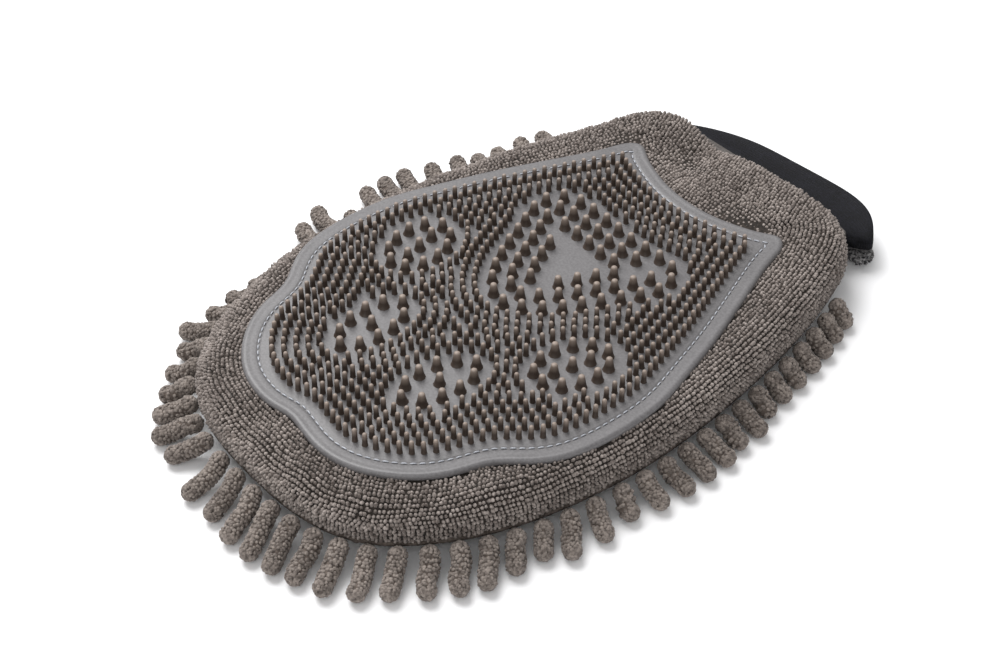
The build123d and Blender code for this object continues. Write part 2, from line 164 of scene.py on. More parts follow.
# --- noodles -----------------------------------------------------------------------------
NOODLE_CORE = 2.85        # radius of the core that the loops stand on
NOODLE_LOOP = 0.7         # height of a noodle's loops
NOODLE_FOOT = 0.93        # where the loops' feet are, as a share of the core's radius
CORE_END = ((0.9, 0.3), (0.6, 0.75), (0.0, 1.0))          # run past the end, size
CORE_STRETCH = 2.4        # how much a rounded end is drawn out
ROOT_HIDDEN = 1.5         # how far a fringe noodle goes on under the mitt's edge
FRINGE_DROP = 3.8         # how far it hangs down from the edge to the surface
NOODLE_BEND = 0.055       # spread of the noodles' bends, as a share of their length
NOODLE_LIFT = 0.2         # how much higher the line is than the middle of the CAD noodle
FLOOR_GAP = 0.1           # loops are moved up until their tops are this high

# --- the room, in metres -----------------------------------------------------------------
FLOOR_HALF = 2.5
FLOOR_LINES = 21
CAMERA_PLACE = (0.3946, -0.3378, 0.4635)
CAMERA_WAY = (-0.5719, 0.4781, -0.6665)
CAMERA_LENS = 71.68       # in millimetres, as the sensor's width is
CAMERA_SENSOR = 36
SKY = 0.5                 # strength of the light from all round


# --- reading the frame -------------------------------------------------------------------
def node_mesh(name):
    """A CAD node's points in millimetres, and its faces."""
    mesh = frame["nodes"][name].data
    points = np.empty(len(mesh.vertices) * 3, np.float32)
    mesh.vertices.foreach_get("co", points)
    points = points.reshape(-1, 3).astype(float) / MM
    return points, [tuple(polygon.vertices) for polygon in mesh.polygons]


def node_box(name):
    """The two corners of a CAD node's box, in millimetres."""
    low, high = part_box(name)
    return np.array(low) / MM, np.array(high) / MM


def solids(name):
    """The points of each separate solid in a CAD node."""
    points, faces = node_mesh(name)
    places, same = np.unique(np.round(points, 2), axis=0, return_inverse=True)
    same = same.reshape(-1)
    leader = list(range(len(places)))

    def find(i):
        while leader[i] != i:
            leader[i] = leader[leader[i]]
            i = leader[i]
        return i

    for face in faces:
        first = find(same[face[0]])
        for corner in face[1:]:
            leader[find(same[corner])] = first
    groups = {}
    for i in range(len(places)):
        groups.setdefault(find(i), []).append(i)
    return [places[group] for group in groups.values()]


# --- outlines ----------------------------------------------------------------------------
def smooth_round(values, times):
    """A closed run of points with its corners eased."""
    for _ in range(times):
        values = (np.roll(values, 1, 0) + 2 * values + np.roll(values, -1, 0)) / 4
    return values


def walk(points):
    """The length of each step along a line, and how far along it each point is."""
    lengths = np.linalg.norm(np.diff(points, axis=0), axis=1)
    return lengths, np.concatenate([[0], np.cumsum(lengths)])


def evenly(edge, count):
    """A closed outline's points, the same distance apart."""
    closed = np.vstack([edge, edge[:1]])
    walked = walk(closed)[1]
    along = np.linspace(0, walked[-1], count, endpoint=False)
    return np.stack([np.interp(along, walked, closed[:, k]) for k in (0, 1)], axis=1)


def outline(name, height, count):
    """A node's outer edge at a height, anticlockwise, from rays cast towards its middle."""
    points, faces = node_mesh(name)
    tree = BVHTree.FromPolygons(points.tolist(), faces)
    middle = (points.min(0) + points.max(0)) / 2
    far = 400
    found = []
    for angle in np.linspace(0, 2 * math.pi, 4 * count, endpoint=False):
        way = Vector((math.cos(angle), math.sin(angle), 0))
        start = Vector((middle[0], middle[1], height)) + way * far
        hit = tree.ray_cast(start, -way)[0]
        if hit is not None:
            found.append((hit.x, hit.y))
    return smooth_round(evenly(np.array(found), count), 3)


def inward(edge):
    """The direction inwards at each point of a closed anticlockwise outline."""
    along = np.roll(edge, -2, 0) - np.roll(edge, 2, 0)
    along /= np.linalg.norm(along, axis=1)[:, None]
    return np.stack([-along[:, 1], along[:, 0]], axis=1)


def distance_to(edge, points):
    """How far points are from an outline, and whether they are inside it."""
    away = np.empty(len(points))
    within = np.zeros(len(points), bool)
    a, b = edge, np.roll(edge, -1, 0)
    for i, (x, y) in enumerate(points):
        away[i] = np.sqrt(((edge - (x, y)) ** 2).sum(1).min())
        crosses = (a[:, 1] > y) != (b[:, 1] > y)
        rise = np.where(crosses, b[:, 1] - a[:, 1], 1)
        at = a[:, 0] + (y - a[:, 1]) / rise * (b[:, 0] - a[:, 0])
        within[i] = (crosses & (x < at)).sum() % 2 == 1
    return away, within


def level(ring, height):
    """An outline's points at a height."""
    return np.column_stack([ring, np.full(len(ring), height)])


# --- faces and simple shapes -------------------------------------------------------------
def strip_faces(rings, around):
    """Quads between rings of points that follow each other."""
    return [(r * around + i, r * around + (i + 1) % around,
             (r + 1) * around + (i + 1) % around, (r + 1) * around + i)
            for r in range(rings - 1) for i in range(around)]


def cover_faces(rings, around):
    """Quads between rings, and a fan from the last ring to one point after it."""
    top = (rings - 1) * around
    fan = [(top + i, top + (i + 1) % around, top + around) for i in range(around)]
    return strip_faces(rings, around) + fan


def bar_faces(rings, around):
    """Quads between rings, and a face over each end."""
    near = tuple(reversed(range(around)))
    far = tuple((rings - 1) * around + i for i in range(around))
    return strip_faces(rings, around) + [near, far]


def joined(parts):
    """Several shapes as one, each given as its points and faces."""
    points, faces, start = [], [], 0
    for part_points, part_faces in parts:
        points.append(part_points)
        faces += [tuple(start + corner for corner in face) for face in part_faces]
        start += len(part_points)
    return np.vstack(points), faces


def thick_sheet(outer, inner, faces):
    """A closed shell from a surface and the same surface moved by its thickness."""
    count = len(outer)
    sides = {}
    for face in faces:
        for a, b in zip(face, face[1:] + face[:1]):
            if (b, a) in sides:
                del sides[(b, a)]
            else:
                sides[(a, b)] = True
    back = [tuple(count + i for i in reversed(face)) for face in faces]
    border = [(b, a, count + a, count + b) for a, b in sides]
    return np.vstack([outer, inner]), faces + back + border


def dome(sides, rings):
    """A dome of unit radius and unit height: its points and faces."""
    points = []
    for r in range(rings):
        rise = math.sin(r / rings * math.pi / 2)
        wide = math.cos(r / rings * math.pi / 2) ** 0.7
        for i in range(sides):
            turn = 2 * math.pi * (i + r / 2) / sides
            points.append((wide * math.cos(turn), wide * math.sin(turn), rise))
    points.append((0, 0, 1))
    return np.array(points), cover_faces(rings, sides)


def copies(shape, places, ups, wide, tall, chance, lean):
    """Copies of a shape on points, standing along ups with a small lean of their own."""
    points, faces = shape
    count = len(places)
    ups = ups + chance.normal(0, lean, (count, 3))
    ups /= np.linalg.norm(ups, axis=1)[:, None]
    side = np.cross(ups, chance.normal(0, 1, (count, 3)))
    side /= np.linalg.norm(side, axis=1)[:, None]
    other = np.cross(ups, side)
    wide = np.broadcast_to(wide, count)[:, None, None]
    tall = np.broadcast_to(tall, count)[:, None, None]
    grown = (places[:, None] + points[None, :, :1] * side[:, None] * wide
             + points[None, :, 1:2] * other[:, None] * wide
             + points[None, :, 2:] * ups[:, None] * tall)
    step = len(points)
    made = [tuple(c + k * step for c in face) for k in range(count) for face in faces]
    return grown.reshape(-1, 3), made


def piece(name, points, faces, look, body=None, stands_for=()):
    """A smooth mesh from points in millimetres, riding on a body."""
    mesh = bpy.data.meshes.new(name)
    mesh.from_pydata((np.asarray(points) * MM).tolist(), [], faces)
    mesh.materials.append(look)
    mesh.polygons.foreach_set("use_smooth", [True] * len(mesh.polygons))
    mesh.update()
    made = bpy.data.objects.new(name, mesh)
    bpy.context.scene.collection.objects.link(made)
    if body:
        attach(made, body)
    if stands_for:
        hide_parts(*stands_for)
    return made


# --- materials ---------------------------------------------------------------------------
BROAD_GRAIN = 14          # the broad grain is this many times as coarse as the fine one
BROAD_WEIGHT = 0.35       # and counts this much beside it
BROAD_MEAN = 0.17         # about its mean, which is taken off again
RELIEF_DEPTH = 0.4        # depth of the relief, as a share of the grain


def tone(red, green, blue):
    """A screen colour, from 0 to 255, as the linear one that a shader takes."""
    return tuple((c / 255) ** 2.2 for c in (red, green, blue)) + (1.0,)


def finish(name, dark, light, grain, roughness, bump=0.3, sheen=0.0, contrast=3.0):
    """Two tones mixed by a grain of that size in millimetres, with a relief to match."""
    made = bpy.data.materials.new(name)
    made.use_nodes = True
    nodes, links = made.node_tree.nodes, made.node_tree.links
    shader = nodes["Principled BSDF"]
    place = nodes.new("ShaderNodeTexCoord")
    fine = nodes.new("ShaderNodeTexNoise")
    fine.inputs["Scale"].default_value = 1000 / grain
    fine.inputs["Detail"].default_value = 4
    broad = nodes.new("ShaderNodeTexNoise")
    broad.inputs["Scale"].default_value = 1000 / grain / BROAD_GRAIN
    blend = nodes.new("ShaderNodeMath")
    blend.operation = "MULTIPLY_ADD"
    blend.inputs[1].default_value = BROAD_WEIGHT
    ramp = nodes.new("ShaderNodeValToRGB")
    ramp.color_ramp.elements[0].position = 0.5 - 0.5 / contrast
    ramp.color_ramp.elements[1].position = 0.5 + 0.5 / contrast
    ramp.color_ramp.elements[0].color = dark
    ramp.color_ramp.elements[1].color = light
    relief = nodes.new("ShaderNodeBump")
    relief.inputs["Strength"].default_value = bump
    relief.inputs["Distance"].default_value = grain * MM * RELIEF_DEPTH
    shift = nodes.new("ShaderNodeMath")
    shift.operation = "ADD"
    shift.inputs[1].default_value = -BROAD_MEAN
    links.new(place.outputs["Object"], fine.inputs["Vector"])
    links.new(place.outputs["Object"], broad.inputs["Vector"])
    links.new(broad.outputs["Fac"], blend.inputs[0])
    links.new(fine.outputs["Fac"], blend.inputs[2])
    links.new(blend.outputs[0], shift.inputs[0])
    links.new(shift.outputs[0], ramp.inputs["Fac"])
    links.new(ramp.outputs["Color"], shader.inputs["Base Color"])
    links.new(fine.outputs["Fac"], relief.inputs["Height"])
    links.new(relief.outputs["Normal"], shader.inputs["Normal"])
    shader.inputs["Roughness"].default_value = roughness
    shader.inputs["Sheen Weight"].default_value = sheen
    shader.inputs["Sheen Roughness"].default_value = 0.5
    return made


def lit_tip_finish(name, shaded_tone, lit_tone, low, high, roughness):
    """A rubber whose tone goes from a painted shade low down to a painted highlight between
    two heights, with a fine grain over it.
    """
    made = finish(name, shaded_tone, lit_tone, 0.5, roughness, bump=0.12)
    nodes, links = made.node_tree.nodes, made.node_tree.links
    place = nodes["Texture Coordinate"]
    split = nodes.new("ShaderNodeSeparateXYZ")
    span = nodes.new("ShaderNodeMapRange")
    span.inputs["From Min"].default_value = low * MM
    span.inputs["From Max"].default_value = high * MM
    mix = nodes.new("ShaderNodeMath")
    mix.operation = "MULTIPLY_ADD"
    mix.inputs[1].default_value = 0.12
    ramp = nodes["Color Ramp"]
    ramp.color_ramp.elements[0].position = 0.1
    ramp.color_ramp.elements[1].position = 1.0
    links.new(place.outputs["Object"], split.inputs[0])
    links.new(split.outputs["Z"], span.inputs["Value"])
    links.new(nodes["Noise Texture"].outputs["Fac"], mix.inputs[0])
    links.new(span.outputs["Result"], mix.inputs[2])
    links.new(mix.outputs[0], ramp.inputs["Fac"])
    return made


TERRY = finish("terry_loops", tone(95, 86, 81), tone(161, 151, 145), 1.6, 0.9, 0.4, 0.12)
# The terry's ground cloth is given a dark tone as painted shade in the gaps between the loops.
TERRY_SHADED_GROUND = finish("terry_ground", tone(34, 30, 27), tone(58, 51, 46), 1.2, 0.95)
CHENILLE = finish("chenille_loops", tone(84, 76, 71), tone(142, 132, 125), 1.3, 0.92,
                  0.4, 0.12)
CHENILLE_CORE = finish("chenille_core", tone(78, 69, 64), tone(104, 94, 87), 1.0, 0.95)
BASE_CLOTH = finish("base_cloth", tone(70, 62, 57), tone(104, 94, 87), 0.7, 0.95)
LINING = finish("lining_cloth", tone(70, 66, 64), tone(98, 93, 90), 0.6, 0.85, 0.2)
PAD_RUBBER = finish("pad_rubber", tone(96, 94, 95), tone(110, 108, 109), 0.9, 0.42, 0.1)
# The nibs' darker roots and lighter tips are painted shade and painted highlight.
NIB_RUBBER = lit_tip_finish("nib_rubber", tone(68, 57, 50), tone(144, 130, 120),
                           25.6, 29.0, 0.5)
THREAD = finish("silver_thread", tone(150, 153, 160), tone(190, 193, 200), 0.3, 0.35, 0.4)
SEAM_THREAD = finish("seam_thread", tone(84, 76, 70), tone(132, 122, 114), 0.8, 0.8)
KNIT = finish("black_knit", tone(6, 6, 9), tone(30, 30, 37), 0.5, 0.7, 0.35)
KNIT.node_tree.nodes["Principled BSDF"].inputs["Specular IOR Level"].default_value = 0.2
OVERLOCK = finish("overlock_loops", tone(30, 30, 34), tone(150, 148, 148), 0.9, 0.85,
                  0.4, contrast=7.0)


# --- the mitt's edge ---------------------------------------------------------------------
EDGE = outline("chenille_base_panel", EDGE_HEIGHT, EDGE_POINTS)
EDGE_IN = inward(EDGE)
PAD_EDGE = outline("grooming_pad", PAD_HEIGHT, PAD_POINTS)
MIDDLE = (EDGE.min(0) + EDGE.max(0)) / 2


def rim(run):
    """The terry's section at a run from its lower edge: inset, height, and its normal."""
    lower = LOWER_ROLL * math.pi / 2
    wall = TERRY_TOP - TERRY_BOTTOM - LOWER_ROLL - EDGE_ROLL
    roll = EDGE_ROLL * math.pi / 2
    if run < lower:
        turn = run / LOWER_ROLL
        return (LOWER_ROLL * (1 - math.sin(turn)),
                TERRY_BOTTOM + LOWER_ROLL * (1 - math.cos(turn)),
                math.sin(turn), -math.cos(turn))
    if run < lower + wall:
        return 0.0, TERRY_BOTTOM + LOWER_ROLL + run - lower, 1.0, 0.0
    if run < lower + wall + roll:
        turn = (run - lower - wall) / EDGE_ROLL
        return (EDGE_ROLL * (1 - math.cos(turn)),
                TERRY_TOP - EDGE_ROLL + EDGE_ROLL * math.sin(turn),
                math.cos(turn), math.sin(turn))
    return EDGE_ROLL + run - lower - wall - roll, TERRY_TOP, 0.0, 1.0


def puff(points):
    """How much the terry stands up or dips outside the pad."""
    away, under_pad = distance_to(PAD_EDGE, points[:, :2])
    free = np.clip((away - PUFF_CLEAR) / PUFF_REACH, 0, 1) * ~under_pad
    free = free * free * (3 - 2 * free)
    x, y = points[:, 0], points[:, 1]
    on_top = np.clip((points[:, 2] - PUFF_FROM) / PUFF_FADE, 0, 1)
    near_wrist = np.clip((y - WRIST_FROM) / WRIST_FADE, 0, 1)
    near_tip = np.clip((TIP_FROM - y) / TIP_FADE, 0, 1)
    bulge = sum(rise * np.exp(-((x - at) / wide) ** 2) for rise, at, wide in WRIST_PUFFS)
    depth, at, wide = WRIST_DIP
    bulge -= depth * np.exp(-((x - at + DIP_SLANT * (y - 95)) / wide) ** 2)
    ripple = 0.55 * np.sin(x * 0.31 + 0.6 * np.sin(y * 0.11)) + 0.4 * np.sin(
        0.19 * y + 0.12 * x)
    lift = near_wrist * bulge + RIPPLE_HEIGHT * ripple * (0.35 + near_tip) + 0.5
    in_from_edge = distance_to(EDGE, points[:, :2])[0]
    slump = TIP_SLUMP * near_tip * np.clip(1 - in_from_edge / SLUMP_WIDTH, 0, 1)
    return (lift * free - slump) * on_top


# --- cloths ------------------------------------------------------------------------------
def in_mouth(points):
    """Which points are in the opening at the wrist."""
    return ((np.abs(points[:, 0] - MIDDLE[0]) < MOUTH_HALF) & (points[:, 1] > MOUTH_FROM)
            & (points[:, 2] < MOUTH_TOP))


def without_mouth(points, faces):
    """The faces that aren't wholly in the opening at the wrist."""
    open_here = in_mouth(points)
    return [face for face in faces if not all(open_here[i] for i in face)]


def shrunk(ring, shares):
    """An outline drawn in towards the mitt's middle, once for each share."""
    return [MIDDLE + (ring - MIDDLE) * share for share in shares]


def with_middle(rings, height):
    """The points of rings, and one more in the mitt's middle."""
    return np.vstack(rings + [[[*MIDDLE, height]]])


def terry_panel():
    """The terry cloth itself: up from the lower edge, over the roll and across the top."""
    outer, inner = [], []
    run_to = SECTION_RUN + INSET_RINGS - EDGE_ROLL
    for run in np.linspace(CLOTH_FROM, run_to, SECTION_RINGS):
        inset, height, out, up = rim(run)
        ring = EDGE + EDGE_IN * inset
        outer.append(level(ring, height))
        inner.append(level(ring + EDGE_IN * out * TERRY_THICK, height - up * TERRY_THICK))
    for smaller in shrunk(ring, CLOTH_CLOSING):
        outer.append(level(smaller, TERRY_TOP))
        inner.append(level(smaller, TERRY_TOP - TERRY_THICK))
    faces = cover_faces(len(outer), EDGE_POINTS)
    outer = with_middle(outer, TERRY_TOP)
    inner = with_middle(inner, TERRY_TOP - TERRY_THICK)
    rise = puff(outer)
    outer[:, 2] += rise
    inner[:, 2] += rise
    points, faces = thick_sheet(outer, inner, without_mouth(outer, faces))
    # The cloth under the loops carries the dark ground tone, painted shade between the loops.
    made = piece("terry_cloth", points, faces, TERRY_SHADED_GROUND, "mitt",
                 ["terry_front_panel"])


def loop_row(run, chance):
    """The feet of one row of terry loops, and the way that they stand."""
    inset, height, out, up = rim(run)
    ring = EDGE + EDGE_IN * inset
    keep = np.ones(len(ring), bool)
    if inset > FIELD_INSET:
        away, within = distance_to(EDGE, ring)
        keep = (away > inset - 0.35) & within
    closed = np.vstack([ring, ring[:1]])
    lengths, walked = walk(closed)
    count = max(3, int(walked[-1] / LOOP_PITCH))
    stray = chance.uniform(-LOOP_SHIFT, LOOP_SHIFT, count)
    stops = (np.arange(count) + stray) * walked[-1] / count
    at = np.clip(np.searchsorted(walked, stops % walked[-1]) - 1, 0, len(ring) - 1)
    share = ((stops % walked[-1]) - walked[at]) / lengths[at]
    spots = closed[at] + (closed[at + 1] - closed[at]) * share[:, None]
    spots, way = spots[keep[at]], EDGE_IN[at][keep[at]]
    return level(spots, height), level(-way * out, up)


def terry_pile():
    """Rows of loops over all of the terry that isn't under the pad."""
    chance = np.random.default_rng(11)
    rows = [loop_row(run, chance) for run in np.arange(FIRST_ROW, LAST_ROW, LOOP_ROW)]
    places = np.vstack([row[0] for row in rows])
    ups = np.vstack([row[1] for row in rows])
    away, inside = distance_to(PAD_EDGE, places[:, :2])
    hidden = inside & (away > UNDER_PAD) & (places[:, 2] > 19)
    shown = ~hidden & ~in_mouth(places)
    places, ups = places[shown], ups[shown]
    places[:, 2] += puff(places)
    places += chance.normal(0, 0.08, places.shape)
    quarter = (np.arctan2(places[:, 1] - MIDDLE[1], places[:, 0] - MIDDLE[0])
               / (2 * math.pi) * 4).round().astype(int) % 4
    for part in range(4):
        here = quarter == part
        count = here.sum()
        wide = LOOP_RADIUS * chance.uniform(0.8, 1.12, count)
        tall = LOOP_HEIGHT * chance.uniform(0.7, 1.15, count)
        feet = places[here] - LOOP_SUNK * ups[here]
        points, faces = copies(dome(5, 3), feet, ups[here], wide, tall, chance, 0.2)
        piece(f"terry_pile_{part + 1}", points, faces, TERRY, "mitt",
              ["terry_front_panel"])


def flat_cloth(name, node, low, high, inset, look, ripple):
    """A flat cloth inside the mitt's outline, with a slight ripple."""
    phase = np.random.default_rng(5).uniform(0, 6, 4)
    rings = [level(ring, high) for ring in shrunk(EDGE + EDGE_IN * inset, FLAT_CLOSING)]
    outer = with_middle(rings, high)
    wave = (np.sin(outer[:, 0] * 0.13 + phase[0]) * np.sin(outer[:, 1] * 0.09 + phase[1])
            + 0.5 * np.sin(outer[:, 0] * 0.31 + outer[:, 1] * 0.22 + phase[2]))
    outer[:, 2] += ripple * wave
    inner = outer - (0, 0, high - low)
    points, faces = thick_sheet(outer, inner, cover_faces(len(rings), EDGE_POINTS))
    made = piece(name, points, faces, look, "mitt", [node])


def front_lining():
    """The lining of the hand pocket's upper side, which turns down along its edge."""
    low, high = (corner[2] for corner in node_box("front_lining"))
    foot = 0.4
    roll = high - low - foot
    outer, inner = [], []
    for turn in np.linspace(0, math.pi / 2, 7):
        ring = EDGE + EDGE_IN * (LINING_INSET + roll * 0.7 * (1 - math.cos(turn)))
        height = low + foot + roll * math.sin(turn)
        step = EDGE_IN * LINING_THICK * math.cos(turn)
        outer.append(level(ring, height))
        inner.append(level(ring + step, height - LINING_THICK * math.sin(turn)))
    for smaller in shrunk(ring, LINING_CLOSING):
        outer.append(level(smaller, high))
        inner.append(level(smaller, high - LINING_THICK))
    faces = cover_faces(len(outer), EDGE_POINTS)
    outer = with_middle(outer, high)
    inner = with_middle(inner, high - LINING_THICK)
    points, faces = thick_sheet(outer, inner, without_mouth(outer, faces))
    made = piece("front_lining_cloth", points, faces, LINING, "mitt",
                 ["front_lining"])


def side_seam():
    """The overlocked seam inside the mitt: a flat ridge that swells at every second point."""
    half_wide, half_tall = SEAM_HALF
    rings = []
    sides = 8
    for i in range(sides):
        turn = 2 * math.pi * i / sides
        swell = 1 + SEAM_SWELL * np.sin(np.arange(EDGE_POINTS) * math.pi + turn)
        ring = EDGE + EDGE_IN * (SEAM_INSET - half_wide * math.cos(turn) * swell)[:, None]
        rings.append(np.column_stack([ring, SEAM_HEIGHT + half_tall * math.sin(turn) * swell]))
    points = np.vstack(rings)
    faces = strip_faces(sides, EDGE_POINTS)
    last = (sides - 1) * EDGE_POINTS
    faces += [(last + i, last + (i + 1) % EDGE_POINTS, (i + 1) % EDGE_POINTS, i)
              for i in range(EDGE_POINTS)]
    gone = in_mouth(points[np.array(faces)].mean(1))
    faces = [face for face, cut in zip(faces, gone) if not cut]
    piece("side_seam_threads", points, faces, SEAM_THREAD, "mitt",
          ["side_seam"])


# --- grooming pad ------------------------------------------------------------------------
def grooming_pad():
    """The rubber pad: a soft raised rim, a shallow stitching groove and a flat field."""
    way = smooth_round(inward(PAD_EDGE), 2)
    rings = []
    for inset, height in PAD_PROFILE:
        ring = PAD_EDGE + way * inset
        if inset > PAD_EASED:
            ring = smooth_round(ring, 4)
        rings.append(level(ring, height))
    faces = strip_faces(len(rings), PAD_POINTS)
    start = len(rings) * PAD_POINTS
    border = [Vector(point[:2]) for point in rings[-1]]
    field = delaunay_2d_cdt(border, [], [list(range(PAD_POINTS))], 1, 0.001)
    rings.append(np.array([(p.x, p.y, PAD_PROFILE[-1][1]) for p in field[0]]))
    faces += [tuple(start + corner for corner in face) for face in field[2]]
    faces.append(tuple(reversed(range(PAD_POINTS))))
    piece("grooming_pad_rubber", np.vstack(rings), faces, PAD_RUBBER, "mitt",
          ["grooming_pad"])


def thread_shape():
    """A rounded, slightly arched bar from -1 to 1."""
    sides, rings = 8, 7
    points = []
    for r in range(rings):
        at = -math.cos(math.pi * (r + 0.5) / rings)
        wide = math.sqrt(max(0.0, 1 - at ** 4))
        arch = 0.6 * (1 - at * at)
        for i in range(sides):
            turn = 2 * math.pi * i / sides
            points.append((at, wide * math.cos(turn), wide * math.sin(turn) + arch))
    return np.array(points), bar_faces(rings, sides)


def pad_stitches():
    """One short thread for each stitch, arched out of the groove."""
    shape_points, shape_faces = thread_shape()
    parts = []
    for solid in solids("pad_stitching"):
        middle = solid.mean(0)
        spread = solid[:, :2] - middle[:2]
        along = np.linalg.svd(spread, full_matrices=False)[2][0]
        across = np.array([-along[1], along[0]])
        length = (spread @ along).max() - (spread @ along).min()
        local = shape_points * (length / 2, STITCH_RADIUS, STITCH_RADIUS)
        x = middle[0] + local[:, 0] * along[0] + local[:, 1] * across[0]
        y = middle[1] + local[:, 0] * along[1] + local[:, 1] * across[1]
        parts.append((np.column_stack([x, y, STITCH_HEIGHT + local[:, 2]]), shape_faces))
    points, faces = joined(parts)
    piece("pad_stitches", points, faces, THREAD, "mitt", ["pad_stitching"])


def nib_shape(shoulder):
    """A tapering rubber nib of unit root radius and unit height, with a rounded top."""
    sides = 10
    profile = [(1.12, 0.0), (1.0, 0.04), ((1 + shoulder) / 2 * 0.98, 0.4), (shoulder, 0.84),
               (shoulder * 0.92, 0.92), (shoulder * 0.66, 0.975), (shoulder * 0.3, 0.998)]
    points = []
    for wide, rise in profile:
        for i in range(sides):
            turn = 2 * math.pi * i / sides
            points.append((wide * math.cos(turn), wide * math.sin(turn), rise))
    points.append((0, 0, 1))
    return np.array(points), cover_faces(len(profile), sides)


def nibs(node, name, shoulder, seed):
    """The rubber nibs of one node, each a little different from the next."""
    chance = np.random.default_rng(seed)
    places, wide, tall = [], [], []
    for solid in solids(node):
        low, high = solid.min(0), solid.max(0)
        places.append(((low[0] + high[0]) / 2, (low[1] + high[1]) / 2, low[2] - NIB_SUNK))
        wide.append((high[0] - low[0]) / 2)
        tall.append(high[2] - low[2] + NIB_SUNK)
    places = np.array(places)
    ups = np.tile((0.0, 0.0, 1.0), (len(places), 1))
    tall = np.array(tall) * chance.uniform(0.955, 1.0, len(places))
    points, faces = copies(nib_shape(shoulder), places, ups, np.array(wide), tall, chance,
                           0.025)
    piece(name, points, faces, NIB_RUBBER, "mitt", [node])


# --- noodles -----------------------------------------------------------------------------
def noodle_line(solid, hidden, chance):
    """The bent middle line of a noodle, from its root outwards."""
    middle = solid.mean(0)
    way = np.linalg.svd(solid - middle, full_matrices=False)[2][0]
    run = (solid - middle) @ way
    ends = [middle + way * (run.min() + NOODLE_CORE), middle + way * (run.max() - NOODLE_CORE)]
    ends.sort(key=lambda end: np.linalg.norm(end[:2] - MIDDLE))
    root, tip = ends
    way = (tip - root) / np.linalg.norm(tip - root)
    root = root - way * hidden
    side = np.array([-way[1], way[0], 0])
    bend = chance.normal(0, NOODLE_BEND) * np.linalg.norm(tip - root)
    wiggle = chance.normal(0, 0.35)
    shares = np.linspace(0, 1, 15)
    line = root + (tip - root) * shares[:, None]
    line += side * (bend * (4 * shares * (1 - shares) * 0.6 - shares ** 2 * 0.3)
                    + wiggle * np.sin(shares * 6.3))[:, None]
    line[:, 2] += NOODLE_LIFT + FRINGE_DROP * (1 - shares) ** 1.6 * (hidden > 0)
    return line


def place_on(line, walked, run):
    """The place at a run along a line."""
    return np.array([np.interp(run, walked, line[:, k]) for k in range(3)])


def ways_on(line, walked, run):
    """The directions along, across and up at a run on a line."""
    run = min(max(run, 0), walked[-1])
    way = (place_on(line, walked, min(run + 1, walked[-1]))
           - place_on(line, walked, max(run - 1, 0)))
    way /= np.linalg.norm(way)
    side = np.cross((0, 0, 1), way)
    side /= np.linalg.norm(side)
    return way, side, np.cross(way, side)


def noodle_core(line):
    """A noodle's core: a bar along its line with rounded ends."""
    walked = walk(line)[1]
    total = walked[-1]
    stations = [(-past, size) for past, size in CORE_END]
    stations += [(share * total, 1.0) for share in np.linspace(0.1, 0.9, 7)]
    stations += [(total + past, size) for past, size in reversed(CORE_END)]
    sides, points = 8, []
    for run, size in stations:
        way, side, up = ways_on(line, walked, run)
        past_end = way * (min(run, 0) + max(run - total, 0)) * CORE_STRETCH
        spot = place_on(line, walked, min(max(run, 0), total)) + past_end
        for i in range(sides):
            turn = 2 * math.pi * i / sides
            out = side * math.cos(turn) + up * math.sin(turn)
            points.append(spot + NOODLE_CORE * size * out)
    return np.array(points), bar_faces(len(stations), sides)


def noodle_loops(line, row, around, chance):
    """The loops all over one noodle: rings of them along it, and more round its ends."""
    walked = walk(line)[1]
    total = walked[-1]
    places, ups = [], []
    for k, run in enumerate(np.arange(0, total + row / 2, row)):
        way, side, up = ways_on(line, walked, run)
        spot = place_on(line, walked, min(run, total))
        for i in range(around):
            turn = 2 * math.pi * (i + 0.5 * (k % 2)) / around + chance.normal(0, 0.1)
            out = side * math.cos(turn) + up * math.sin(turn)
            places.append(spot + out * NOODLE_CORE * NOODLE_FOOT + way * chance.normal(0, 0.2))
            ups.append(out)
    end_rings = ((0.0, 1), (0.33, 6), (0.66, around - 2), (1.0, around), (1.3, around))
    for end, sign in ((0, -1), (total, 1)):
        way, side, up = ways_on(line, walked, end)
        spot = place_on(line, walked, end)
        for tilt, number in end_rings:
            for i in range(number):
                turn = 2 * math.pi * i / number + chance.normal(0, 0.1)
                out = (way * sign * math.cos(tilt)
                       + (side * math.cos(turn) + up * math.sin(turn)) * math.sin(tilt))
                places.append(spot + out * NOODLE_CORE * NOODLE_FOOT)
                ups.append(out)
    places, ups = np.array(places), np.array(ups)
    tops = places[:, 2] + ups[:, 2] * NOODLE_LOOP
    places[:, 2] += np.maximum(0, FLOOR_GAP - tops)
    count = len(places)
    wide = (row * 0.6) * chance.uniform(0.85, 1.15, count)
    tall = NOODLE_LOOP * chance.uniform(0.7, 1.15, count)
    shape = dome(5, 3 if around > 9 else 2)
    return copies(shape, places, ups, wide, tall, chance, 0.22)


def bend_at_roots(made, body):
    """Finds the tuft's joint and the way out from it, then bakes the piece's place into its
    points; the piece is not bent or lifted.
    """
    joint = next(j for j in frame["joints"] if j["child"] == body)
    out = np.cross((0, 0, 1), joint["axis"])
    out = out / np.linalg.norm(out)
    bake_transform(made)


def noodles(node, name, body, hidden, row, around, seed):
    """All noodles of one node: their cores, and their loops."""
    chance = np.random.default_rng(seed)
    cores, loops = [], []
    for solid in solids(node):
        line = noodle_line(solid, hidden, chance)
        cores.append(noodle_core(line))
        loops.append(noodle_loops(line, row, around, chance))
    fixed = body if body == "mitt" else None
    for part, shapes, look in (("_cores", cores, CHENILLE_CORE), ("_loops", loops, CHENILLE)):
        points, faces = joined(shapes)
        made = piece(name + part, points, faces, look, fixed, [node])
        if not fixed:
            bend_at_roots(made, body)


